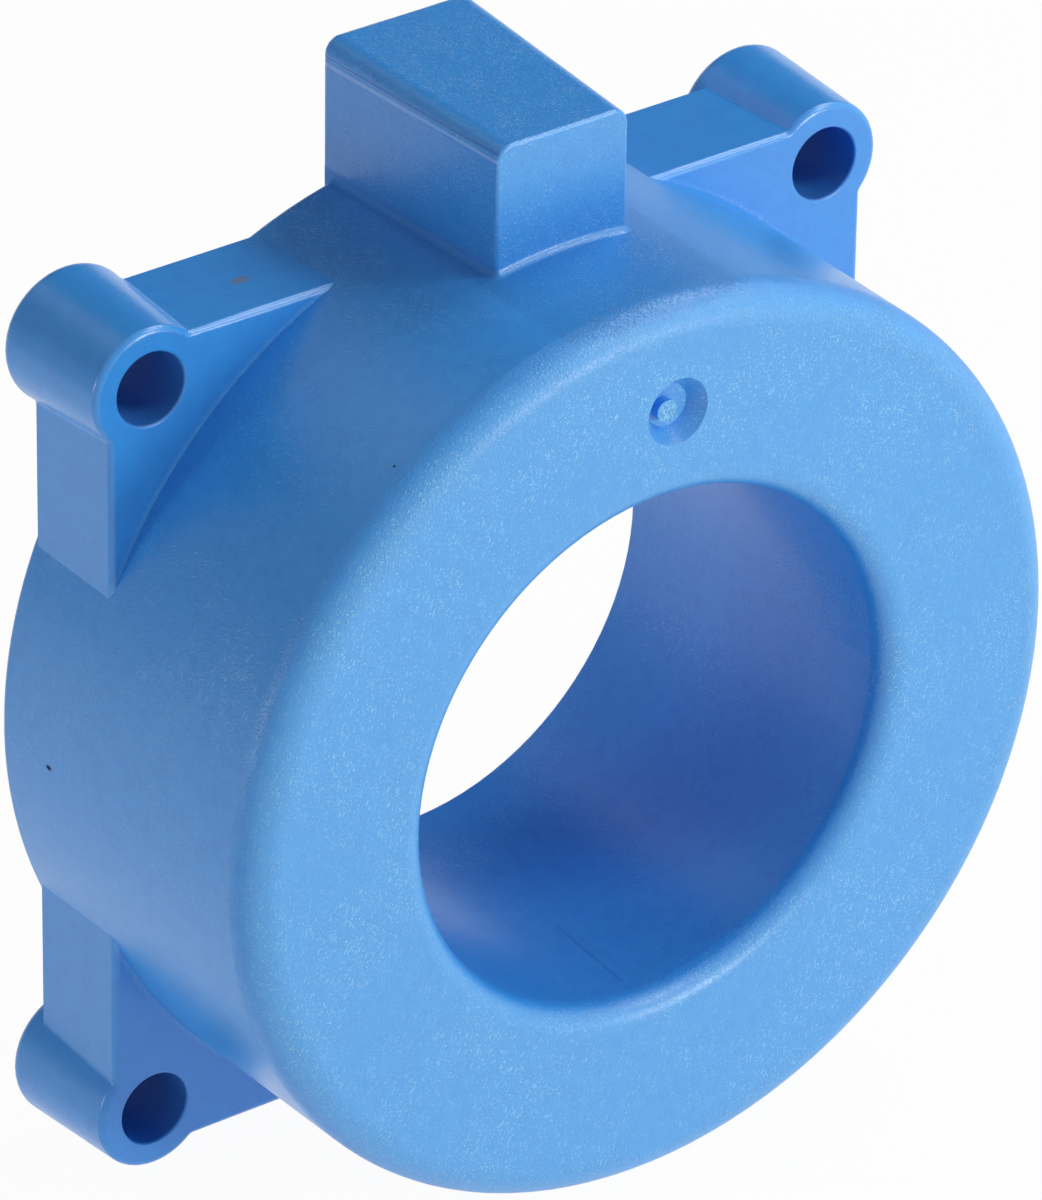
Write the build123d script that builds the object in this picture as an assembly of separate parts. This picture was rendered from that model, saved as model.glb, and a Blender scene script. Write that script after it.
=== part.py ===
from build123d import *
import math
import os

# A ring-shaped Hall effect current sensor. A conductor passes through the bore, and four ears
# take the screws that hold the sensor against a panel or a board.
#
# Frame: the bore's axis is the Y axis and the origin lies on it, in the mounting plane that the
# feet of the four bosses share. The closed face looks along -Y, the terminals leave along +Y, and
# the hood stands up along +Z. All sizes are in millimetres.

# Bore and walls of the moulding
bore_diameter = 22.0
bore_mouth_radius = 1.05
tube_wall = 1.2
outer_wall = 1.4
face_wall = 1.5
ring_edge_radius = 1.4
rear_edge_radius = 0.3
bore_rear_radius = 0.1
ring_draft = 0.4
ring_set_back = 0.55

# Magnetic core: a wound ring with one gap under the hood
core_build = 4.9
core_length = 9.6
core_side_gap = 0.4
core_edge_radius = 0.3
core_rest_height = 0.5
core_rest_width = 1.0
core_rest_count = 6

# Depth behind the core that the board's terminals need
terminal_room = 4.85

# Ears
hole_pitch_x = 32.0
hole_pitch_z = 32.0
hole_diameter = 3.05
hole_edge_radius = 0.12
boss_diameter = 5.1
boss_draft = 3.2
boss_step = 0.675
boss_root_radius = 0.3
boss_foot_radius = 0.5
ear_thickness = 5.9
ear_edge_radius = 0.25
web_set_back = 0.95

# Hood over the board
hood_wall = 1.2
hood_draft = 2.3
hood_top_radius = 0.7
hood_edge_radius = 0.15
hood_root_radius = 0.3
board_end_gap = 0.3

# Moulding gate in the closed face
gate_from_bore = 3.85
gate_side_offset = 0.4
gate_mouth_diameter = 2.8
gate_floor_diameter = 1.8
gate_depth = 0.7
gate_stub_diameter = 0.9
gate_stub_height = 0.4
gate_stub_offset = 0.3

# Circuit board, which stands in the core's gap
board_thickness = 0.8
board_tongue = 0.6
board_side_gap = 0.45
board_over_strip = 0.1

# Terminals and the strip that holds them in line
pin_size = 0.6
pin_pitch = 2.54
pin_count = 4
pin_reach = 3.5
pin_lift = 0.4
pin_tail = 0.7
pin_bend_radius = 0.3
pin_point = 0.1
pin_hole_diameter = 0.95
pin_hole_inset = 1.4
strip_width = 1.9
strip_thickness = 1.2
strip_inset = 0.5
strip_cover = 0.4
solder_diameter = 1.5
solder_height = 0.4

# Hall chip
chip_width = 3.0
chip_body_span = 4.4
chip_lead_span = 6.4
chip_height = 1.0
chip_stand_off = 0.1
chip_lead_count = 4
chip_lead_pitch = 0.65
chip_lead_width = 0.25
chip_lead_thickness = 0.15
chip_foot_length = 0.55

# Chip capacitors and resistors
capacitor_size = (2.0, 1.25, 0.85)
resistor_size = (1.6, 0.8, 0.45)
cap_end_length = 0.4
cap_end_height = 0.05
small_part_gap = 0.55
pin_to_resistor = 0.425

# Resin fill
resin_depth = 0.5

# Two places closer than this count as one
same_place = 1e-4

# Radii that follow from the walls and the core
bore_radius = bore_diameter / 2
channel_inner_radius = bore_radius + tube_wall
core_inner_radius = channel_inner_radius + core_side_gap
core_outer_radius = core_inner_radius + core_build
channel_outer_radius = core_outer_radius + core_side_gap
ring_radius = channel_outer_radius + outer_wall
core_middle_radius = (core_inner_radius + core_outer_radius) / 2

# Depths in front of the mounting plane
ring_rear = ring_set_back
core_rear = ring_rear + terminal_room
core_front = core_rear + core_length
core_middle = (core_front + core_rear) / 2
channel_front = core_front + core_rest_height
ring_front = channel_front + face_wall
resin_rear = ring_rear + resin_depth
strip_rear = resin_rear + strip_cover
board_rear = strip_rear + strip_thickness
pin_hole_depth = board_rear + pin_hole_inset
resistor_depth = pin_hole_depth + pin_size / 2 + pin_to_resistor + resistor_size[0] / 2
capacitor_depth = resistor_depth + (resistor_size[0] + capacitor_size[0]) / 2 + small_part_gap
board_top_front = capacitor_depth + (capacitor_size[0] + small_part_gap) / 2
board_front = core_middle + chip_lead_span / 2 + board_tongue
room_front = board_top_front + board_end_gap
hood_front = room_front + hood_wall

# The mounting flange and its bosses
boss_radius = boss_diameter / 2
flange_width = hole_pitch_x + boss_diameter - 2 * boss_step
flange_height = hole_pitch_z + boss_diameter - 2 * boss_step

# Heights and side places of the board and its pieces; the pin row stands at X = 0
board_face = -pin_lift
board_back = board_face - board_thickness
strip_length = pin_count * pin_pitch
strip_bottom = channel_inner_radius + strip_inset
strip_middle = strip_bottom + strip_length / 2
board_bottom = channel_inner_radius + board_end_gap
board_top = strip_bottom + strip_length + board_over_strip
tongue_top = channel_outer_radius - board_side_gap
room_left = board_back - pin_tail - board_side_gap
room_right = strip_width / 2 + board_side_gap
room_top = board_top + board_end_gap
core_gap = 2 * (pin_lift + board_thickness + board_side_gap)


def face_plane(depth):
    """A plane parallel to the closed face, this far in front of the mounting plane."""
    return Plane.XZ.offset(depth)


def side_plane(x):
    """A plane across X, drawn with the depth to its right (as -Y) and Z up."""
    return Plane(origin=(x, 0, 0), x_dir=(0, -1, 0), z_dir=(-1, 0, 0))


def depth_box(x_range, depth_range, z_range):
    """A box between two X values, two depths in front of the mounting plane and two heights."""
    size = [high - low for low, high in (x_range, depth_range, z_range)]
    middle = [(high + low) / 2 for low, high in (x_range, depth_range, z_range)]
    return Pos(middle[0], -middle[1], middle[2]) * Box(*size)


def corner_of(sketch, x, y):
    """The sketch's corner nearest to a point."""
    return sketch.vertices().sort_by_distance((x, y, 0))[0]


def ring_solid():
    """The ring's outside, turned about the bore, with the draft that lets it leave its mould."""
    growth = (ring_front - ring_rear) * math.tan(math.radians(ring_draft))
    section = Polygon(
        (0, -ring_rear),
        (0, -ring_front),
        (ring_radius, -ring_front),
        (ring_radius + growth, -ring_rear),
        align=None,
    )
    section = fillet(corner_of(section, ring_radius, -ring_front), ring_edge_radius)
    return revolve(section, axis=Axis.Y)


def drafted_block(wall):
    """The room's shape in the hood, grown by a wall; its sides and top flare to the rear."""
    front = room_front + wall
    growth = front * math.tan(math.radians(hood_draft))
    left, right = room_left - wall - growth, room_right + wall + growth
    bottom, top = core_middle_radius - growth, room_top + wall + growth
    outline = Pos((left + right) / 2, (bottom + top) / 2) * Rectangle(right - left, top - bottom)
    return extrude(face_plane(0) * outline, amount=front, taper=hood_draft)


def screw_circles(radius):
    """A circle round each of the four screw axes."""
    return Sketch() + GridLocations(hole_pitch_x, hole_pitch_z, 2, 2) * Circle(radius)


def boss_radius_at(depth):
    """The bosses' radius, which grows from the ears' front to the feet."""
    return boss_radius + (ear_thickness - depth) * math.tan(math.radians(boss_draft))


def ear_outline(depth):
    """The outline of the webs and the four bosses at one depth."""
    outline = Rectangle(flange_width, hole_pitch_z) + Rectangle(hole_pitch_x, flange_height)
    outline += screw_circles(boss_radius_at(depth))
    return face_plane(depth) * fillet(outline.vertices(), boss_root_radius)


def boss_feet():
    """The round ends of the four bosses, which stand out behind the webs."""
    foot = Cone(boss_radius_at(0), boss_radius_at(web_set_back), web_set_back)
    foot = fillet(foot.faces().sort_by(Axis.Z)[0].edges(), boss_foot_radius)
    places = GridLocations(hole_pitch_x, hole_pitch_z, 2, 2)
    return [face_plane(web_set_back / 2) * place * foot for place in places]


def flange_solid():
    """The webs and bosses, behind the ring's middle."""
    outlines = [ear_outline(web_set_back).face(), ear_outline(ear_thickness).face()]
    flange = loft(outlines, ruled=True)
    front = flange.faces().sort_by(Axis.Y)[0]
    return fillet(front.outer_wire().edges(), ear_edge_radius) + boss_feet()


def hood_solid():
    """The hood that covers the board, from inside the ring up to its rounded top."""
    hood = drafted_block(hood_wall)
    top = hood.faces().sort_by(Axis.Z)[-1]
    sides = sorted(top.edges(), key=lambda edge: abs(edge.center().Y + hood_front / 2))[:2]
    hood = fillet(sides, hood_top_radius)
    for index, radius in ((0, hood_edge_radius), (-1, rear_edge_radius)):
        end = hood.faces().sort_by(Axis.Y)[index]
        edges = [edge for edge in end.edges() if edge.center().Z > core_middle_radius + same_place]
        hood = fillet(edges, radius)
    return hood


def with_hood_root(body):
    """Rounds the line where the hood's sides and front rise from the ring."""
    root = [
        edge
        for edge in body.edges()
        if abs(edge.center().X) < hood_wall - room_left + outer_wall / 2
        and abs(math.hypot(edge.center().X, edge.center().Z) - ring_radius) < outer_wall / 2
        and ring_rear + rear_edge_radius < -edge.center().Y < hood_front + hood_edge_radius
    ]
    return fillet(root, hood_root_radius)


def gate_recess():
    """The cone-sided pocket round the gate, less the stub that the gate leaves on its floor."""
    place = face_plane(ring_front) * Pos(gate_side_offset, bore_radius + gate_from_bore)
    pocket = place * Pos(0, 0, -gate_depth / 2) * Cone(
        gate_floor_diameter / 2, gate_mouth_diameter / 2, gate_depth
    )
    stub = place * Pos(-gate_stub_offset, 0, gate_stub_height / 2 - gate_depth) * Cylinder(
        gate_stub_diameter / 2, gate_stub_height
    )
    return pocket - stub


def inner_space():
    """The open inside: the ring-shaped channel round the conductor tube, and the hood's room."""
    ring = Circle(channel_outer_radius) - Circle(channel_inner_radius)
    channel = extrude(face_plane(0) * ring, amount=channel_front)
    return channel + drafted_block(0)


def core_rests():
    """Short ribs on the channel's floor that hold the core off it, so that resin runs under."""
    rib = depth_box(
        (core_inner_radius - core_side_gap, core_outer_radius + core_side_gap),
        (core_front, channel_front),
        (-core_rest_width / 2, core_rest_width / 2),
    )
    turn = 360 / core_rest_count
    return [Rot(0, turn * (index + 0.5), 0) * rib for index in range(core_rest_count)]


def circles_of(body, radius):
    """The body's circular edges of one radius."""
    circles = body.edges().filter_by(GeomType.CIRCLE)
    return [edge for edge in circles if abs(edge.radius - radius) < same_place]


def housing():
    """The one-piece moulding: ring, conductor tube, four ears and hood, open at the back."""
    body = with_hood_root(ring_solid() + hood_solid())
    arcs = body.edges().filter_by(GeomType.CIRCLE)
    rims = [arc for arc in arcs if abs(arc.center().Y + ring_rear) < same_place]
    body = fillet(rims, rear_edge_radius) + flange_solid()
    body = body - extrude(face_plane(0) * Circle(bore_radius), amount=ring_front)
    body = body - inner_space() + core_rests()
    body = body - extrude(face_plane(0) * screw_circles(hole_diameter / 2), amount=ear_thickness)
    body = fillet(circles_of(body, hole_diameter / 2), hole_edge_radius)
    body = body - gate_recess()
    mouth = min(circles_of(body, bore_radius), key=lambda edge: edge.center().Y)
    body = fillet(mouth, bore_mouth_radius)
    back = max(circles_of(body, bore_radius), key=lambda edge: edge.center().Y)
    return fillet(back, bore_rear_radius)


def magnetic_core():
    """The wound ring with its air gap cut at the top."""
    ring = Circle(core_outer_radius) - Circle(core_inner_radius)
    core = extrude(face_plane(core_rear) * ring, amount=core_length)
    core = fillet(core.edges().filter_by(GeomType.CIRCLE), core_edge_radius)
    gap = depth_box(
        (-core_gap / 2, core_gap / 2),
        (core_rear, core_front),
        (0, core_outer_radius),
    )
    return core - gap


def pin_heights():
    """The heights of the pins, from the lowest to the highest."""
    first = strip_middle - (pin_count - 1) / 2 * pin_pitch
    return [first + index * pin_pitch for index in range(pin_count)]


def circuit_board():
    """The board: a tongue in the core's gap, a wide part in the hood, and four pin holes."""
    outline = Polygon(
        (board_rear, board_bottom),
        (board_front, board_bottom),
        (board_front, tongue_top),
        (board_top_front, tongue_top),
        (board_top_front, board_top),
        (board_rear, board_top),
        align=None,
    )
    board = extrude(side_plane(board_face) * outline, amount=board_thickness)
    for height in pin_heights():
        board -= pin_hole(height, pin_hole_diameter)
    return board


def pin_hole(height, diameter):
    """The bore through the board for one pin."""
    middle = (board_face + board_back) / 2
    return Pos(middle, -pin_hole_depth, height) * Rot(0, 90, 0) * Cylinder(
        diameter / 2, board_thickness
    )


def pin(height):
    """One square terminal: a tail through the board, a bend, and a straight run to the rear."""
    half = pin_size / 2
    tail_end = board_back - pin_tail
    tip = pin_reach
    outline = Polygon(
        (tail_end, -pin_hole_depth - half),
        (half, -pin_hole_depth - half),
        (half, tip),
        (-half, tip),
        (-half, -pin_hole_depth + half),
        (tail_end, -pin_hole_depth + half),
        align=None,
    )
    outline = fillet(corner_of(outline, -half, -pin_hole_depth + half), pin_bend_radius)
    outline = fillet(corner_of(outline, half, -pin_hole_depth - half), pin_bend_radius + pin_size / 2)
    solid = extrude(Plane.XY.offset(height - half) * outline, amount=pin_size)
    point = solid.faces().sort_by(Axis.Y)[-1]
    return chamfer(point.edges(), pin_point)


def pin_strip():
    """The moulded strip that the terminals pass through, behind the board's edge."""
    strip = depth_box(
        (-strip_width / 2, strip_width / 2),
        (strip_rear, board_rear),
        (strip_bottom, strip_bottom + strip_length),
    )
    return strip - [pin(height) for height in pin_heights()]


def pin_solder_joints():
    """A joint round each pin's tail, filling its hole in the board."""
    joints = []
    for height in pin_heights():
        cone = Pos(board_back - solder_height / 2, -pin_hole_depth, height) * Rot(0, -90, 0) * Cone(
            solder_diameter / 2, pin_hole_diameter / 2, solder_height
        )
        joints.append(pin_hole(height, pin_hole_diameter) + cone - pin(height))
    return joints


def sensor_chip():
    """The Hall chip's body, centred in the core's gap."""
    return depth_box(
        (board_face + chip_stand_off, board_face + chip_stand_off + chip_height),
        (core_middle - chip_body_span / 2, core_middle + chip_body_span / 2),
        (core_middle_radius - chip_width / 2, core_middle_radius + chip_width / 2),
    )


def chip_lead(side, height):
    """One bent lead, from the body's side down to its foot on the board."""
    mid = board_face + chip_stand_off + chip_height / 2
    half = chip_lead_thickness / 2
    body_side = chip_body_span / 2
    knee = chip_lead_span / 2 - chip_foot_length
    outline = Polygon(
        (mid - half, body_side),
        (mid + half, body_side),
        (mid + half, knee + half),
        (board_face + chip_lead_thickness, knee + half),
        (board_face + chip_lead_thickness, chip_lead_span / 2),
        (board_face, chip_lead_span / 2),
        (board_face, knee - half),
        (mid - half, knee - half),
        align=None,
    )
    lead = extrude(outline, amount=chip_lead_width)
    if side < 0:
        lead = mirror(lead, about=Plane.XZ)
    return Pos(0, -core_middle, height - chip_lead_width / 2) * lead


def sensor_chip_leads():
    """Two rows of leads, one on each side of the chip."""
    first = core_middle_radius - (chip_lead_count - 1) / 2 * chip_lead_pitch
    heights = [first + index * chip_lead_pitch for index in range(chip_lead_count)]
    return [chip_lead(side, height) for side in (-1, 1) for height in heights]


def small_part(size, depth, height):
    """A chip part with its raised metal ends, lying on the board with its length along Y."""
    length, width, thickness = size
    body = depth_box(
        (board_face, board_face + thickness - cap_end_height),
        (depth - length / 2, depth + length / 2),
        (height - width / 2 + cap_end_height, height + width / 2 - cap_end_height),
    )
    for end in (-1, 1):
        outer = depth + end * length / 2
        inner = outer - end * cap_end_length
        body += depth_box(
            (board_face, board_face + thickness),
            (min(inner, outer), max(inner, outer)),
            (height - width / 2, height + width / 2),
        )
    return body


def small_parts():
    """Three capacitors in a column at the board's front edge, and two resistors behind them."""
    top_row = board_top - small_part_gap / 2 - capacitor_size[1] / 2
    step = capacitor_size[1] + small_part_gap
    names = ["supply_capacitor", "output_capacitor", "reference_capacitor"]
    parts = {
        name: small_part(capacitor_size, capacitor_depth, top_row - index * step)
        for index, name in enumerate(names)
    }
    for index, name in enumerate(["output_resistor", "reference_resistor"]):
        parts[name] = small_part(resistor_size, resistor_depth, top_row - (index + 0.5) * step)
    return parts


def potting_resin(inner_pieces):
    """The cast fill: the whole inside of the moulding, less everything that it surrounds."""
    above_fill = depth_box(
        (-ring_radius, ring_radius), (0, resin_rear), (-ring_radius, 2 * ring_radius)
    )
    return inner_space() - above_fill - core_rests() - inner_pieces


def solids_of(shape):
    """The separate solids of a shape or of a list of shapes."""
    if isinstance(shape, list):
        return [solid for item in shape for solid in solids_of(item)]
    return list(shape.solids())


def build():
    """Every piece by its name."""
    pieces = {"housing": housing()}
    inner = {
        "magnetic_core": magnetic_core(),
        "circuit_board": circuit_board(),
        "sensor_chip": sensor_chip(),
        "sensor_chip_leads": sensor_chip_leads(),
        "pin_strip": pin_strip(),
        "pin_solder_joints": pin_solder_joints(),
    }
    pin_names = ["supply_pin", "ground_pin", "output_pin", "reference_pin"]
    for name, height in zip(pin_names, pin_heights()):
        inner[name] = pin(height)
    inner.update(small_parts())
    pieces.update(inner)
    pieces["potting_resin"] = potting_resin(
        [solid for shape in inner.values() for solid in solids_of(shape)]
    )
    return pieces


def main():
    os.makedirs("parts", exist_ok=True)
    for name, shape in build().items():
        solids = solids_of(shape)
        export_step(solids[0] if len(solids) == 1 else Compound(solids), f"parts/{name}.step")
        print(name, len(solids), round(sum(solid.volume for solid in solids), 2))


main()
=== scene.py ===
# %% [markdown]
# A ring-shaped current sensor, moulded in blue plastic filled with glass fibre, stands on a white
# table under soft light. Its solids come from the CAD model and keep their shape here. This file
# gives each of them its finish, adds the thin rim of resin and a finer rounding on the back, and
# sets the light and the camera.

# %% Load the frame
import math
import bmesh
import bpy
from mathutils import Matrix, Vector


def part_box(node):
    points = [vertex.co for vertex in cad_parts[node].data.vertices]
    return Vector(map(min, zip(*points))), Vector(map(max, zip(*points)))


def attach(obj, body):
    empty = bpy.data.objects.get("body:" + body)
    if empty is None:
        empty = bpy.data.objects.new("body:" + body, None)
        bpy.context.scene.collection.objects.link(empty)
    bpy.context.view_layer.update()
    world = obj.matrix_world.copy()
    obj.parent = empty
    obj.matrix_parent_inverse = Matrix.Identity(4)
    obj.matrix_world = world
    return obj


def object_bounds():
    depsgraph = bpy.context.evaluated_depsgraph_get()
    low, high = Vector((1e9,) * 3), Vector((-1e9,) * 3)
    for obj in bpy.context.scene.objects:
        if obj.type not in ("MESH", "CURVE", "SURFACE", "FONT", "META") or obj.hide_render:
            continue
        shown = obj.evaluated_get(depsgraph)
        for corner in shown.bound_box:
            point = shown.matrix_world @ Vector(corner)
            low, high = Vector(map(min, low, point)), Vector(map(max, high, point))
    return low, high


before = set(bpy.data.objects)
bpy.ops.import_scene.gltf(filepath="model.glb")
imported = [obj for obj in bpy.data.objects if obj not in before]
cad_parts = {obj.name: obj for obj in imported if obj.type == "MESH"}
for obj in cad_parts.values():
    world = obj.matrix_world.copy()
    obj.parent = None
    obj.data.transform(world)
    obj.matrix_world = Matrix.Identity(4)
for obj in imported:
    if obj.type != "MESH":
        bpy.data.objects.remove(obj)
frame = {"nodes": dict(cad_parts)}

cad_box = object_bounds()
low, high = cad_box
nodes = frame["nodes"]
MM = 0.001
print("pieces from the CAD model:", len(nodes))

# %% [markdown]
# A surface that looks real changes from place to place, and most of those changes are sums and
# products of a few patterns. Wrapping a node's output in a small class lets them be written as
# ordinary sums, such as `0.3 + 0.1 * grain`, and each sign adds its Math node.

# %% A value that changes over a surface
class Field:
    """One output socket, with the signs of arithmetic."""

    def __init__(self, nodes, socket):
        self.nodes = nodes
        self.socket = socket

    def step(self, operation, first, second=0.0):
        return self.nodes.node("ShaderNodeMath", {"operation": operation}, {0: first, 1: second})

    def __add__(self, other):
        return self.step("ADD", self, other)

    def __radd__(self, other):
        return self.step("ADD", other, self)

    def __sub__(self, other):
        return self.step("SUBTRACT", self, other)

    def __rsub__(self, other):
        return self.step("SUBTRACT", other, self)

    def __mul__(self, other):
        return self.step("MULTIPLY", self, other)

    def __rmul__(self, other):
        return self.step("MULTIPLY", other, self)

    def __abs__(self):
        return self.step("ABSOLUTE", self)

    def max(self, other):
        return self.step("MAXIMUM", self, other)

    def power(self, other):
        return self.step("POWER", self, other)

    def ramp(self, start, end):
        """0 up to start, 1 from end on, and smooth between; start may be the larger of the two."""
        if start > end:
            return 1 - self.ramp(end, start)
        return self.nodes.node(
            "ShaderNodeMapRange",
            {"interpolation_type": "SMOOTHSTEP"},
            {"Value": self, "From Min": start, "From Max": end},
        )


# %% [markdown]
# One method adds any node from its type, its settings and the values or links of its sockets.
# The tent round the table and the rim of resin use it as well as every finish, so it has a class
# of its own.

# %% A tree of nodes
class Nodes:
    """A node tree, and what adds nodes to it."""

    def __init__(self, tree):
        self.tree = tree

    def plug(self, socket, value):
        if isinstance(value, Field):
            self.tree.links.new(value.socket, socket)
        elif isinstance(value, tuple) and len(socket.default_value) == 4:
            socket.default_value = (*value, 1.0)
        else:
            socket.default_value = value

    def node(self, kind, settings=None, values=None, output=0):
        made = self.tree.nodes.new(kind)
        for key, value in (settings or {}).items():
            setattr(made, key, value)
        for key, value in (values or {}).items():
            self.plug(made.inputs[key], value)
        return Field(self, made.outputs[output])

    def shown(self):
        """1 for a ray from the camera, off a gloss or through glass; 0 for light on a surface."""
        camera_ray = self.node("ShaderNodeLightPath", output="Is Camera Ray")
        glossy_ray = self.node("ShaderNodeLightPath", output="Is Glossy Ray")
        clear_ray = self.node("ShaderNodeLightPath", output="Is Transmission Ray")
        return camera_ray.max(glossy_ray).max(clear_ray)


# %% [markdown]
# Every finish starts from Blender's Principled shader, because that one travels to other
# programs. Values that are the same all over go straight onto its sockets. Its patterns are
# placed in millimetres of the object itself, so that they stay put when the object moves.

# %% A finish and the patterns it is made of
class Finish(Nodes):
    """A material with a Principled shader, and the patterns that drive it."""

    def __init__(self, name, **constants):
        self.material = bpy.data.materials.new(name)
        self.material.use_nodes = True
        super().__init__(self.material.node_tree)
        self.shader = self.tree.nodes["Principled BSDF"]
        for socket, value in constants.items():
            self.drive(socket.replace("_", " "), value)
        place = self.node("ShaderNodeTexCoord", output="Object")
        to_mm = {"operation": "SCALE"}
        self.mm = self.node("ShaderNodeVectorMath", to_mm, {0: place, "Scale": 1 / MM})

    def drive(self, socket, value):
        self.plug(self.shader.inputs[socket], value)

    def axis(self, name):
        """One coordinate in millimetres."""
        return self.node("ShaderNodeSeparateXYZ", None, {0: self.mm}, name)

    def facing(self, name):
        """One component of the direction that the surface faces."""
        direction = self.node("ShaderNodeNewGeometry", output="True Normal")
        return self.node("ShaderNodeSeparateXYZ", None, {0: direction}, name)

    def from_bore_axis(self):
        """Millimetres from the axis of the conductor's hole."""
        across, upward = self.axis("X"), self.axis("Z")
        return (across * across + upward * upward).power(0.5)

    def scaled(self, scale, turn=(0.0, 0.0, 0.0)):
        """The place in millimetres, turned by degrees and then stretched."""
        angles = tuple(math.radians(angle) for angle in turn)
        turned = self.node(
            "ShaderNodeVectorRotate",
            {"rotation_type": "EULER_XYZ"},
            {"Vector": self.mm, "Rotation": angles},
        )
        return self.node("ShaderNodeVectorMath", {"operation": "MULTIPLY"}, {0: turned, 1: scale})

    def noise(self, size, detail=2.0, roughness=0.5, place=None):
        """Soft clouds about `size` millimetres across, from 0 to 1."""
        values = {"Scale": 1 / size, "Detail": detail, "Roughness": roughness}
        values["Vector"] = place or self.mm
        return self.node("ShaderNodeTexNoise", None, values)

    def scattered(self, spacing, start, end, share=1.0, place=None):
        """Dots round scattered points, fading from `end` to `start` spacings from each. Only a
        share of the points carries one, and their strengths differ by chance."""
        values = {"Scale": 1 / spacing, "Vector": place or self.mm}
        near = self.node("ShaderNodeTexVoronoi", None, values)
        hue = Field(self, near.socket.node.outputs["Color"])
        chance = self.node("ShaderNodeSeparateColor", None, {0: hue}, "Red")
        return near.ramp(start, end) * chance.ramp(1 - share, 1.001)

    def spot(self, point, radius, stretch=(1.0, 1.0, 1.0)):
        """A dot at a point in millimetres, longer along an axis whose stretch is under 1."""
        away = self.node("ShaderNodeVectorMath", {"operation": "SUBTRACT"}, {0: self.mm, 1: point})
        away = self.node("ShaderNodeVectorMath", {"operation": "MULTIPLY"}, {0: away, 1: stretch})
        length = self.node("ShaderNodeVectorMath", {"operation": "LENGTH"}, {0: away}, "Value")
        return length.ramp(1.4 * radius, 0.6 * radius)

    def mix(self, share, first, second):
        """Two colours mixed by a share from 0 to 1."""
        made = self.tree.nodes.new("ShaderNodeMix")
        made.data_type = "RGBA"
        share_socket, first_socket, second_socket = made.inputs[0], made.inputs[6], made.inputs[7]
        self.plug(share_socket, share)
        self.plug(first_socket, first)
        self.plug(second_socket, second)
        return Field(self, made.outputs[2])

    def relief(self, height):
        """A bump from a height in millimetres."""
        return self.node("ShaderNodeBump", None, {"Height": height, "Distance": MM}, "Normal")

    def cover(self, *names):
        """Gives the finish to CAD nodes."""
        for name in names:
            for slot in nodes[name].material_slots:
                slot.material = self.material
        print(self.material.name, "covers", ", ".join(names))


# %% [markdown]
# The case is a satin moulding. Glass fibres lie just under its skin and show as pale strokes a
# few tenths of a millimetre long, in every direction. The cells of a Voronoi pattern become such
# strokes when they are stretched along one line, and three of them, turned three ways, mix the
# directions. Short dots and a fine speckle fill in between them, and clouds thin all of it out in
# some places and crowd it in others.

# %% The glass fibres in the blue plastic
BLUE = (0.036, 0.294, 0.78)
DEEP_BLUE = (0.032, 0.255, 0.73)
PALE_FIBRE_AND_LIGHT = (0.38, 0.79, 1.0)
FIBRE_TURNS = ((12, 31, 67), (74, -38, 21), (-41, 63, -29))
FIBRE_LENGTH = 0.6
FIBRE_SPACING = 0.14
DOT_SPACING = 0.26

case = Finish("blue_glass_filled_plastic", IOR=1.5, Specular_IOR_Level=0.62)
fibres = case.scattered(DOT_SPACING, 0.26, 0.10, 0.6)
for turn in FIBRE_TURNS:
    place = case.scaled((1 / FIBRE_LENGTH, 1 / FIBRE_SPACING, 1 / FIBRE_SPACING), turn)
    fibres = fibres.max(case.scattered(1.0, 0.34, 0.12, 0.8, place))
crowding = case.noise(4.5, 3.0, 0.65).ramp(0.38, 0.62)
grain = case.noise(0.13, 2.0, 0.6)
speckle = case.noise(0.10, 2.0, 0.7).ramp(0.52, 0.70)
clouds = case.noise(0.7, 3.0, 0.6)
print("fibre directions:", len(FIBRE_TURNS))

# %% [markdown]
# The screw ears are smoother than the ring, because they cool faster against the mould. The
# fibres and the grain fade there. The ears lie outside the ring's radius, so the distance from
# the hole's axis tells the two apart. The hood is as rough as the ring. The surfaces that face the
# front are painted paler, as painted light from the lamps in front, and more fibres show there.
# That painted light grows towards the hood's top, because the ring shades the hood's lower part,
# and it is stronger on the ears at the right, which the lamps on the right reach.

# %% Where the skin is rough and where it is smooth, and painted light on the front
RING_RADIUS = 19.4
HOOD_HALF_WIDTH = 4.1
HOOD_FOOT = 18.6
EAR_SKIN = 0.15
LEFT_EAR_PAINTED_LIGHT, RIGHT_EAR_PAINTED_LIGHT = 0.12, 0.47

across = case.axis("X")
along = case.axis("Y")
upward = case.axis("Z")
from_axis = case.from_bore_axis()
on_ring = from_axis.ramp(RING_RADIUS + 0.3, RING_RADIUS)
on_hood = abs(across).ramp(HOOD_HALF_WIDTH + 0.3, HOOD_HALF_WIDTH)
on_hood = on_hood * upward.ramp(HOOD_FOOT, HOOD_FOOT + 0.4)
rough_skin = EAR_SKIN + (1 - EAR_SKIN) * on_ring.max(on_hood)
# Painted light: front faces are painted paler. The paleness grows towards the hood's top, because
# the ring shades the hood's lower part, and it is stronger on the ears at the right, which the
# lamps on the right reach. The ring shades the left ear.
ring_and_hood_light = on_ring.max(on_hood * upward.ramp(19.6, 23.5))
more_light_on_the_right = (RIGHT_EAR_PAINTED_LIGHT - LEFT_EAR_PAINTED_LIGHT) * across.ramp(0.0, 12.0)
ears = LEFT_EAR_PAINTED_LIGHT + more_light_on_the_right
front_light_and_fibres = case.facing("Y").ramp(-0.3, -0.9) * ring_and_hood_light.max(ears)
fleck = fibres.max(0.6 * speckle) * (0.4 + 0.6 * crowding) * rough_skin
print("the rough skin ends", RING_RADIUS, "mm from the axis")
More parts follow.
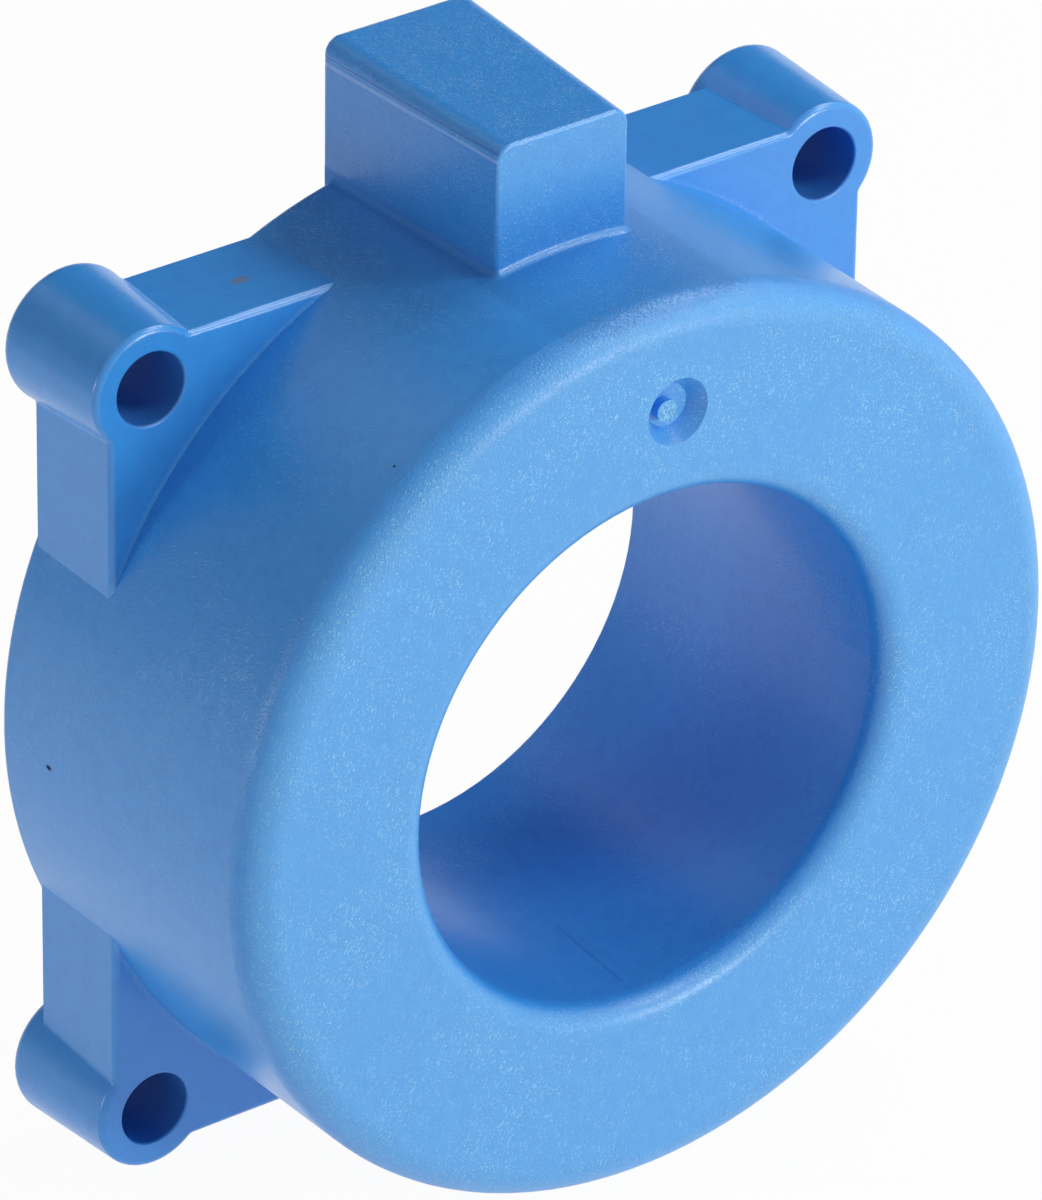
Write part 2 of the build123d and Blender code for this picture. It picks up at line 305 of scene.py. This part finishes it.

# %% [markdown]
# The mould leaves its own marks. Its two halves meet in a fine line along the bottom of the bore,
# and a thin raised line runs below the hood's left edge. The raised line is painted pale, as a
# painted highlight, and a dark line above it, with a shallow dent, is painted shadow of the edge.
# The plastic tore off rough at the gate, where it had flowed in. They are only hundredths of a
# millimetre deep, so each is drawn as a mask, which is 1 on the mark and 0 beside it, and not as a
# shape.

# %% Marks from the mould, and painted light on the raised line
BORE_RADIUS = 11.0
SEAM_START = Vector((-0.05, -11.03))
SEAM_SLOPE = 0.0725
RIDGE_BELOW_TOP = 1.02
GROOVE_ABOVE_RIDGE = 0.30
HOOD_LEFT = -3.4
GATE_STUB = (0.19, -16.55, 14.68)
GATE_RADIUS = 0.5

seam_across = SEAM_START.x + SEAM_SLOPE * (along - SEAM_START.y)
in_bore = from_axis.ramp(BORE_RADIUS + 0.25, BORE_RADIUS + 0.1) * upward.ramp(-10.0, -10.5)
seam = abs(across - seam_across).ramp(0.11, 0.02) * in_bore
seam = seam * along.ramp(-10.0, -11.6) * along.ramp(-15.8, -15.0)
ridge_height = high[2] / MM - RIDGE_BELOW_TOP
left_of_hood = across.ramp(HOOD_LEFT + 0.2, HOOD_LEFT) * case.facing("X").ramp(-0.5, -0.8)
# Painted highlight: the raised line is painted pale where it catches the light.
ridge_and_highlight = abs(upward - ridge_height).ramp(0.14, 0.05) * left_of_hood
# Painted shadow: a dark line above the raised line, where the edge shades it, with a shallow dent.
groove_and_shadow = abs(upward - ridge_height - GROOVE_ABOVE_RIDGE).ramp(0.07, 0.02) * left_of_hood
torn = case.spot(GATE_STUB, GATE_RADIUS) * case.noise(0.11, 2.0, 0.6).ramp(0.42, 0.58)
print("the raised line runs at a height of", round(ridge_height, 2), "mm")

# %% [markdown]
# Some places are duller than the rest, and some are painted darker as painted shade. The ring's
# front rounding and the bore's mouth are coarser. The lower part of the hood is painted darker, as
# painted shade where the ring shades it. The hood's foot beside its sides is duller and painted
# darker, as painted shade in that crease, and the walls of the screw holes are duller and painted
# darker, as painted shade inside the holes. Their masks come from the place and the way that the
# surface faces.

# %% Duller places and painted shade
HOLE_PLACE = 16.0
HOLE_EDGE = 1.62
MOUTH_EDGE = 12.2
ROUNDING_EDGE = 18.2

on_mouth = 0.4 * from_axis.ramp(MOUTH_EDGE + 1, MOUTH_EDGE)
on_rounding = from_axis.ramp(ROUNDING_EDGE - 1, ROUNDING_EDGE)
on_rim = along.ramp(-15.2, -15.9) * on_rounding.max(on_mouth)
# Painted shade: the lower part of the hood is painted darker, where the ring shades it.
hood_low_shade = on_hood * upward.ramp(22.8, 19.6)
beside_hood = abs(across).ramp(3.2, 3.4) * abs(across).ramp(4.7, 4.5) * along.ramp(-13.1, -12.9)
# Painted shade: the crease at the hood's foot, beside its sides, is painted darker and made
# duller.
hood_root_shade = beside_hood * upward.ramp(18.3, 18.5) * upward.ramp(19.6, 19.3)
hood_root_shade = hood_root_shade * abs(case.facing("X")).ramp(0.26, 0.34)
from_hole_x, from_hole_z = abs(across) - HOLE_PLACE, abs(upward) - HOLE_PLACE
from_hole = (from_hole_x * from_hole_x + from_hole_z * from_hole_z).power(0.5)
# Painted shade: the walls of the screw holes are painted darker and made duller, as the holes are
# shaded inside.
hole_wall_shade = from_hole.ramp(HOLE_EDGE, HOLE_EDGE - 0.12)
print("the screw holes are", 2 * HOLE_PLACE, "mm apart")

# %% [markdown]
# Three dark specks and a brown one are burnt grains in the plastic. A speck is what lies near a
# point, so it comes from the distance to that point. It grows longer along one axis where the
# distances on that axis count for less.

# %% Specks
BROWN_SPECK = (-10.286, -3.552, 17.83)
DARK_SPECKS = ((-19.385, -3.76, -0.385), (-11.515, -15.221, 15.526), (-0.44, -17.0, 14.5))

brown = case.spot(BROWN_SPECK, 0.24, (0.6, 1.0, 1.0))
brown = brown * case.noise(0.3, 3.0, 0.7).ramp(0.22, 0.50)
dark = case.spot(DARK_SPECKS[0], 0.10, (1.0, 0.6, 1.0))
for speck in DARK_SPECKS[1:]:
    dark = dark.max(case.spot(speck, 0.06))
print("specks:", 1 + len(DARK_SPECKS))

# %% [markdown]
# The colour mixes the fibres and the painted light on the front faces into the blue first, and
# then each mark with its own strength and tone. The raised line's highlight, the shadow above it,
# and the darker hole walls, hood foot and lower hood are painted light and shade. The gloss and
# the relief use the same patterns as the colour, so that each stroke also catches the light a
# little differently. The dark specks count as metal, because a black metal hardly mirrors the
# white tent and stays black.

# %% Colour, gloss and relief of the case
colour = case.mix(clouds.ramp(0.35, 0.7) * 0.6, BLUE, DEEP_BLUE)
# Painted light: front faces are painted paler, and more fibres show on them.
colour = case.mix(0.15 * front_light_and_fibres + (0.14 + 0.30 * front_light_and_fibres) * fleck, colour, PALE_FIBRE_AND_LIGHT)
for mark, strength, tone in (
    (torn, 0.7, (0.30, 0.72, 1.0)),
    # painted highlight on the raised line
    (ridge_and_highlight, 0.5, (0.26, 0.50, 0.95)),
    # painted shadow above the raised line
    (groove_and_shadow, 0.4, (0.02, 0.10, 0.42)),
    (seam, 0.3, (0.01, 0.08, 0.30)),
    # painted shade inside the screw holes
    (hole_wall_shade, 0.5, (0.010, 0.025, 0.24)),
    # painted shade on the lower part of the hood
    (hood_low_shade, 0.45, (0.015, 0.20, 0.58)),
    # painted shade in the crease at the hood's foot
    (hood_root_shade, 0.3, (0.012, 0.10, 0.42)),
    (brown, 0.7, (0.19, 0.17, 0.19)),
    (dark, 0.95, (0.003, 0.008, 0.03)),
):
    colour = case.mix(strength * mark, colour, tone)
case.drive("Base Color", colour)
case.drive("Metallic", dark)

gloss_lost = 0.08 * torn + 0.3 * hole_wall_shade + 0.07 * on_rim + 0.35 * hood_root_shade + 0.4 * dark
case.drive("Roughness", 0.25 + 0.07 * grain * rough_skin + 0.03 * clouds + gloss_lost)

skin_relief = (0.006 * grain * rough_skin + 0.008 * fleck) * (1 + 2.4 * on_rim + 0.6 * on_hood)
height = skin_relief + 0.03 * torn + 0.02 * ridge_and_highlight - 0.01 * groove_and_shadow - 0.008 * seam
case.drive("Normal", case.relief(height))
case.cover("housing")

# %% [markdown]
# The ring's rear edge has a small rounding. The solid's mesh draws it with long flat facets, and
# its outline against the white table looks like a saw. The CAD mesh has to stay as it is, so a
# round bead of nearly the same radius lies in the wall and fills the steps. It is built ring by
# ring in bmesh, because then each corner lies exactly on the arc. Its ends are hidden in the
# hood's side walls.

# %% The rounding of the ring's rear edge
BEAD_CENTRE = (19.113, -0.85)
BEAD_RADIUS = 0.2945
BEAD_START, BEAD_END = 100.7, 442.0
BEAD_STEPS = 480
BEAD_SIDES = 32

bead_shape = bmesh.new()
loops = []
for step in range(BEAD_STEPS + 1):
    turn = math.radians(BEAD_START + (BEAD_END - BEAD_START) * step / BEAD_STEPS)
    loop = []
    for side in range(BEAD_SIDES):
        angle = math.tau * side / BEAD_SIDES
        reach = BEAD_CENTRE[0] + BEAD_RADIUS * math.cos(angle)
        depth = BEAD_CENTRE[1] + BEAD_RADIUS * math.sin(angle)
        point = MM * Vector((reach * math.cos(turn), depth, reach * math.sin(turn)))
        loop.append(bead_shape.verts.new(point))
    loops.append(loop)
for first, second in zip(loops, loops[1:]):
    for side in range(BEAD_SIDES):
        after = (side + 1) % BEAD_SIDES
        bead_shape.faces.new((first[side], second[side], second[after], first[after]))
bead_shape.faces.new(loops[0])
bead_shape.faces.new(loops[-1])
bmesh.ops.recalc_face_normals(bead_shape, faces=bead_shape.faces)
bead_mesh = bpy.data.meshes.new("ring_rear_edge")
bead_shape.to_mesh(bead_mesh)
bead_shape.free()
for face in bead_mesh.polygons:
    face.use_smooth = True
bead_mesh.materials.append(case.material)
bead = bpy.data.objects.new("ring_rear_edge", bead_mesh)
bpy.context.scene.collection.objects.link(bead)
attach(bead, "root")
print("bead faces:", len(bead_mesh.polygons))

# %% [markdown]
# The open back is filled with a dark casting resin. It set with a soft gloss, a few shallow
# waves and a little dust.

# %% The casting resin
resin = Finish("dark_casting_resin", IOR=1.54, Coat_Roughness=0.12)
waves = resin.noise(3.2, 2.0, 0.5)
dust = resin.scattered(0.5, 0.16, 0.06, 0.6) * resin.noise(2.3).ramp(0.45, 0.65)
resin.drive("Base Color", resin.mix(0.5 * dust, (0.014, 0.016, 0.021), (0.17, 0.18, 0.19)))
resin.drive("Roughness", 0.22 + 0.12 * waves + 0.4 * dust)
resin.drive("Coat Weight", 0.35 - 0.3 * dust)
resin.drive("Normal", resin.relief(0.01 * dust + 0.05 * waves))
resin.cover("potting_resin")

# %% [markdown]
# Before it sets, the resin climbs a little up every wall and pin that it touches. That rim is
# made from the outlines of the resin's rear face: the edges with a rear face on one side only.
# They are laid flat as a mesh of bare edges, which Geometry Nodes can turn into curves.

# %% The outlines of the resin's rear face
SAME_CORNER = 0.002 * MM
SAME_PLANE = 0.005 * MM

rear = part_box("potting_resin")[1][1]
whole = bmesh.new()
whole.from_mesh(nodes["potting_resin"].data)
bmesh.ops.remove_doubles(whole, verts=whole.verts, dist=SAME_CORNER)
rear_faces = {
    face
    for face in whole.faces
    if all(abs(vertex.co.y - rear) < SAME_PLANE for vertex in face.verts)
}
rim_edges = [
    edge for edge in whole.edges if sum(face in rear_faces for face in edge.link_faces) == 1
]
corners = sorted({vertex.index for edge in rim_edges for vertex in edge.verts})
number = {index: order for order, index in enumerate(corners)}
whole.verts.ensure_lookup_table()
flat = bpy.data.meshes.new("resin_outlines")
flat.from_pydata(
    [(whole.verts[index].co.x, whole.verts[index].co.z, 0.0) for index in corners],
    [tuple(number[vertex.index] for vertex in edge.verts) for edge in rim_edges],
    [],
)
whole.free()
print("outline edges:", len(rim_edges))

# %% [markdown]
# A four-pointed star is swept along each outline. Two of its points lie in the wall and the
# resin, and the hollow side between the other two is the curved rim that is seen. A star looks
# the same after a quarter turn, so it fits whichever way the curve faces.

# %% The rim of resin on the walls and pins
RIM_REACH = 0.24 * MM
RIM_WAIST = 0.10 * MM

rim_tree = bpy.data.node_groups.new("resin_rim", "GeometryNodeTree")
socket_of = {}
for name, in_out, kind in (
    ("Outlines", "INPUT", "NodeSocketGeometry"),
    ("Reach", "INPUT", "NodeSocketFloat"),
    ("Waist", "INPUT", "NodeSocketFloat"),
    ("Rim", "OUTPUT", "NodeSocketGeometry"),
):
    made = rim_tree.interface.new_socket(name, in_out=in_out, socket_type=kind)
    socket_of[name] = made.identifier

rim_nodes = Nodes(rim_tree)
given = rim_tree.nodes.new("NodeGroupInput")
outlines, reach, waist = [Field(rim_nodes, socket) for socket in given.outputs[:3]]
curves = rim_nodes.node("GeometryNodeMeshToCurve", None, {"Mesh": outlines})
star = rim_nodes.node(
    "GeometryNodeCurveStar", None, {"Points": 4, "Inner Radius": waist, "Outer Radius": reach}
)
sweep = rim_nodes.node("GeometryNodeCurveToMesh", None, {"Curve": curves, "Profile Curve": star})
stood = rim_nodes.node(
    "GeometryNodeTransform",
    None,
    {"Geometry": sweep, "Rotation": (math.radians(90), 0.0, 0.0), "Translation": (0.0, rear, 0.0)},
)
joined = rim_nodes.node("GeometryNodeRealizeInstances", None, {"Geometry": stood})
finished = rim_nodes.node(
    "GeometryNodeSetMaterial", None, {"Geometry": joined, "Material": resin.material}
)
given_out = rim_tree.nodes.new("NodeGroupOutput")
rim_nodes.plug(given_out.inputs["Rim"], finished)
print("nodes in the rim's tree:", len(rim_tree.nodes))

# %% [markdown]
# The modifier runs once, and its result becomes a plain mesh, so that the exported model needs
# no nodes to show it.

# %% The rim as a plain mesh
carrier = bpy.data.objects.new("resin_outlines", flat)
bpy.context.scene.collection.objects.link(carrier)
modifier = carrier.modifiers.new("resin_rim", "NODES")
modifier.node_group = rim_tree
modifier[socket_of["Reach"]] = RIM_REACH
modifier[socket_of["Waist"]] = RIM_WAIST
evaluated = carrier.evaluated_get(bpy.context.evaluated_depsgraph_get())
rim_mesh = bpy.data.meshes.new_from_object(evaluated)
bpy.data.objects.remove(carrier)
rim_shape = bmesh.new()
rim_shape.from_mesh(rim_mesh)
bmesh.ops.recalc_face_normals(rim_shape, faces=rim_shape.faces)
rim_shape.to_mesh(rim_mesh)
rim_shape.free()
rim = bpy.data.objects.new("resin_meniscus", rim_mesh)
bpy.context.scene.collection.objects.link(rim)
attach(rim, "root")
print("rim faces:", len(rim_mesh.polygons))

# %% [markdown]
# The four pins are square wire with a coat of tin. Drawing the wire leaves fine lines along it,
# and the tin is a little duller where it was handled.

# %% Tin on the pins and leads
tin = Finish("drawn_tin_plate", Metallic=1.0)
drawn = tin.noise(1.0, 3.0, 0.6, tin.scaled((14.0, 0.8, 14.0)))
dull = tin.noise(0.9).ramp(0.4, 0.7)
tin.drive("Base Color", tin.mix(dull, (0.68, 0.67, 0.64), (0.52, 0.51, 0.49)))
tin.drive("Roughness", 0.24 + 0.16 * drawn + 0.14 * dull)
tin.drive("Normal", tin.relief(0.006 * drawn))
tin.cover("supply_pin", "ground_pin", "output_pin", "reference_pin", "sensor_chip_leads")

# %% [markdown]
# The pieces inside the resin can't be seen, but each still has its own finish, so that the model
# holds up when it is taken apart. The board comes first, with its woven glass and its solder.

# %% The board and its solder
laminate = Finish("green_board_laminate", IOR=1.5, Coat_Roughness=0.15)
threads = [
    laminate.node(
        "ShaderNodeTexWave",
        {"wave_type": "BANDS", "bands_direction": direction},
        {"Vector": laminate.mm, "Scale": 1.1, "Distortion": 0.6},
    )
    for direction in "YZ"
]
weave = 0.5 * threads[0] + 0.5 * threads[1]
laminate.drive("Base Color", laminate.mix(weave, (0.012, 0.11, 0.035), (0.03, 0.17, 0.06)))
laminate.drive("Roughness", 0.35 + 0.1 * weave)
laminate.drive("Coat Weight", 0.3 + 0.1 * weave)
laminate.drive("Normal", laminate.relief(0.006 * weave))
laminate.cover("circuit_board")

solder = Finish("solder", Metallic=1.0)
frost = solder.noise(0.22, 3.0, 0.6)
solder.drive("Base Color", solder.mix(frost, (0.60, 0.61, 0.63), (0.74, 0.75, 0.77)))
solder.drive("Roughness", 0.2 + 0.25 * frost)
solder.drive("Normal", solder.relief(0.01 * frost))
solder.cover("pin_solder_joints")

# %% [markdown]
# The core is a steel strip, wound into a ring. Each turn of the strip has its own tone, so a
# pattern that depends on the distance from the axis alone draws the turns on its flat sides.

# %% The wound core
steel = Finish("wound_core_steel", Metallic=1.0)
turns = steel.node(
    "ShaderNodeTexNoise",
    {"noise_dimensions": "1D"},
    {"W": steel.from_bore_axis(), "Scale": 9.0, "Detail": 3.0},
)
steel.drive("Base Color", steel.mix(turns, (0.22, 0.22, 0.23), (0.44, 0.44, 0.46)))
steel.drive("Roughness", 0.32 + 0.25 * turns)
steel.drive("Normal", steel.relief(0.02 * turns))
steel.cover("magnetic_core")

# %% [markdown]
# The small parts are moulded or fired, and all of them have a fine grain. One function makes
# their finishes from a dark and a light tone and the roughness.

# %% The small parts on the board
def grained(name, dark_tone, light_tone, roughness, *covered):
    """A fine-grained finish between two tones."""
    finish = Finish(name)
    fine = finish.noise(0.15, 2.0, 0.6)
    finish.drive("Base Color", finish.mix(fine, dark_tone, light_tone))
    finish.drive("Roughness", roughness + 0.15 * fine)
    finish.drive("Normal", finish.relief(0.004 * fine))
    finish.cover(*covered)


grained(
    "black_moulding", (0.012, 0.012, 0.013), (0.03, 0.03, 0.032), 0.42,
    "pin_strip", "sensor_chip",
)
grained(
    "tan_ceramic", (0.32, 0.20, 0.11), (0.42, 0.28, 0.17), 0.4,
    "supply_capacitor", "output_capacitor", "reference_capacitor",
)
grained(
    "black_glaze", (0.01, 0.01, 0.011), (0.035, 0.035, 0.037), 0.3,
    "output_resistor", "reference_resistor",
)

# %% [markdown]
# The table is white paper. To the camera it glows white, as the photo's background does, and it
# still takes a soft part of the shadow, so that the sensor stands on something.

# %% The table
TABLE_SIZE = 4.0
TABLE_GLOW_SHOWN = 0.96
TABLE_GLOW_ON_OBJECT = 0.58

bpy.ops.mesh.primitive_plane_add(size=TABLE_SIZE, location=(0.0, 0.0, low[2]))
table = bpy.context.object
table.name = "white_table"
paper = Finish("white_paper", Roughness=0.9)
paper.drive("Base Color", (0.86, 0.86, 0.86))
glow = paper.node("ShaderNodeEmission", None, {"Color": (1.0, 1.0, 1.0), "Strength": 1.0})
lit_paper = Field(paper, paper.shader.outputs["BSDF"])
glow_share = TABLE_GLOW_ON_OBJECT + (TABLE_GLOW_SHOWN - TABLE_GLOW_ON_OBJECT) * paper.shown()
both = paper.node("ShaderNodeMixShader", None, {0: glow_share, 1: lit_paper, 2: glow})
paper.plug(paper.tree.nodes["Material Output"].inputs["Surface"], both)
table.data.materials.append(paper.material)
print("the table lies at", round(low[2] / MM, 2), "mm")

# %% [markdown]
# A white tent surrounds the table. The camera and every gloss see it white, and as light it is
# faint and slightly blue, so that the sides turned away from the lamps keep a deep colour.

# %% The tent
TENT_LIGHT = 0.28

world = bpy.data.worlds.new("white_tent")
bpy.context.scene.world = world
world.use_nodes = True
tent = Nodes(world.node_tree)
white = tent.node("ShaderNodeBackground", None, {"Color": (1.0, 1.0, 1.0), "Strength": 1.0})
faint = tent.node(
    "ShaderNodeBackground", None, {"Color": (0.85, 0.93, 1.0), "Strength": TENT_LIGHT}
)
sky = tent.node("ShaderNodeMixShader", None, {0: tent.shown(), 1: faint, 2: white})
tent.plug(world.node_tree.nodes["World Output"].inputs["Surface"], sky)
print("the tent lights the object at", TENT_LIGHT)

# %% [markdown]
# A low lamp stands in front, and the key lamp to its right and higher, whose glint runs along the
# rounded edges. A weaker one draws the left side, and one high on the right lights the tops.

# %% The soft lamps
def direction_of(azimuth, elevation):
    """The direction from the sensor, by its angles in degrees from the front and upwards."""
    turn, rise = math.radians(azimuth), math.radians(elevation)
    return Vector((
        math.sin(turn) * math.cos(rise), -math.cos(turn) * math.cos(rise), math.sin(rise)
    ))


def soft_lamp(name, azimuth, elevation, distance, size, watts, colour=(1.0, 1.0, 1.0)):
    """A square lamp that looks at the sensor's middle, placed by its angles in degrees."""
    data = bpy.data.lights.new(name, "AREA")
    data.shape = "SQUARE"
    data.size = size
    data.energy = watts
    data.color = colour
    lamp = bpy.data.objects.new(name, data)
    bpy.context.scene.collection.objects.link(lamp)
    towards = direction_of(azimuth, elevation)
    lamp.location = distance * towards
    lamp.rotation_euler = towards.to_track_quat("Z", "Y").to_euler()
    print(name, "stands at", azimuth, "and", elevation, "degrees with", watts, "W")


WARM_WHITE = (1.0, 0.98, 0.92)
soft_lamp("front_lamp", 22, 11, 0.34, 0.08, 0.42, WARM_WHITE)
soft_lamp("key_lamp", 43, 46, 0.34, 0.08, 0.26, WARM_WHITE)
soft_lamp("left_lamp", -110, 3, 0.34, 0.07, 0.19)
soft_lamp("high_lamp", 95, 55, 0.26, 0.11, 0.22)

# %% [markdown]
# Seen from the camera, the flat tops and the ring's upper left would mirror the white tent behind
# them and turn pale. A dark card is held up behind on the right, as a photographer's black flag
# is, and a thin grey gauze stands on the left. The camera itself sees neither.

# %% The dark card and the gauze
def held_up(name, finish, azimuth, elevation, distance, width, height):
    """A flat sheet that faces the sensor's middle, placed by its angles in degrees."""
    bpy.ops.mesh.primitive_plane_add(size=1.0)
    sheet = bpy.context.object
    sheet.name = name
    towards = direction_of(azimuth, elevation)
    sheet.scale = (width, height, 1.0)
    sheet.location = distance * towards
    sheet.rotation_euler = towards.to_track_quat("Z", "Y").to_euler()
    sheet.visible_camera = False
    sheet.data.materials.append(finish.material)
    print(name, "hangs at", azimuth, "and", elevation, "degrees")


felt = Finish("dark_felt", Roughness=1.0, Alpha=0.90)
felt.drive("Base Color", (0.02, 0.02, 0.02))
gauze = Finish("grey_gauze", Roughness=1.0, Alpha=0.50)
gauze.drive("Base Color", (0.04, 0.04, 0.04))
held_up("dark_card", felt, 143, 38, 0.33, 0.40, 0.29)
held_up("gauze", gauze, -142, 18, 0.14, 0.20, 0.13)

# %% [markdown]
# The camera stands where the photographer's did, a little to the left and above, far back with a
# long lens, so that the ring's far side is almost as large as its near side.

# %% The camera
AZIMUTH = math.radians(-36.959)
ELEVATION = math.radians(29.847)
ROLL = math.radians(0.9)
DISTANCE = 385.901 * MM
FOCAL_PIXELS = 10069.14
IMAGE_SIZE = (1042, 1200)
FACE_CENTRE_PIXEL = (661.68, 754.448)
SENSOR_WIDTH = 36.0

back = Vector((
    math.sin(AZIMUTH) * math.cos(ELEVATION),
    -math.cos(AZIMUTH) * math.cos(ELEVATION),
    math.sin(ELEVATION),
))
level = Vector((math.cos(AZIMUTH), math.sin(AZIMUTH), 0.0))
upright = level.cross(-back)
right = math.cos(ROLL) * level + math.sin(ROLL) * upright
top = -math.sin(ROLL) * level + math.cos(ROLL) * upright
face_centre = Vector((0.0, low[1], 0.0))
right_shift = (FACE_CENTRE_PIXEL[0] - IMAGE_SIZE[0] / 2) * DISTANCE / FOCAL_PIXELS
down_shift = (FACE_CENTRE_PIXEL[1] - IMAGE_SIZE[1] / 2) * DISTANCE / FOCAL_PIXELS
place = face_centre - right_shift * right + down_shift * top + DISTANCE * back

camera_data = bpy.data.cameras.new("camera")
camera_data.sensor_width = SENSOR_WIDTH
camera_data.lens = FOCAL_PIXELS * SENSOR_WIDTH / max(IMAGE_SIZE)
camera_data.clip_start = 10 * MM
camera = bpy.data.objects.new("camera", camera_data)
bpy.context.scene.collection.objects.link(camera)
camera.matrix_world = Matrix((
    (right.x, top.x, back.x, place.x),
    (right.y, top.y, back.y, place.y),
    (right.z, top.z, back.z, place.z),
    (0.0, 0.0, 0.0, 1.0),
))
bpy.context.scene.camera = camera
bpy.context.scene.view_settings.view_transform = "Standard"
print("lens", round(camera_data.lens, 1), "mm")
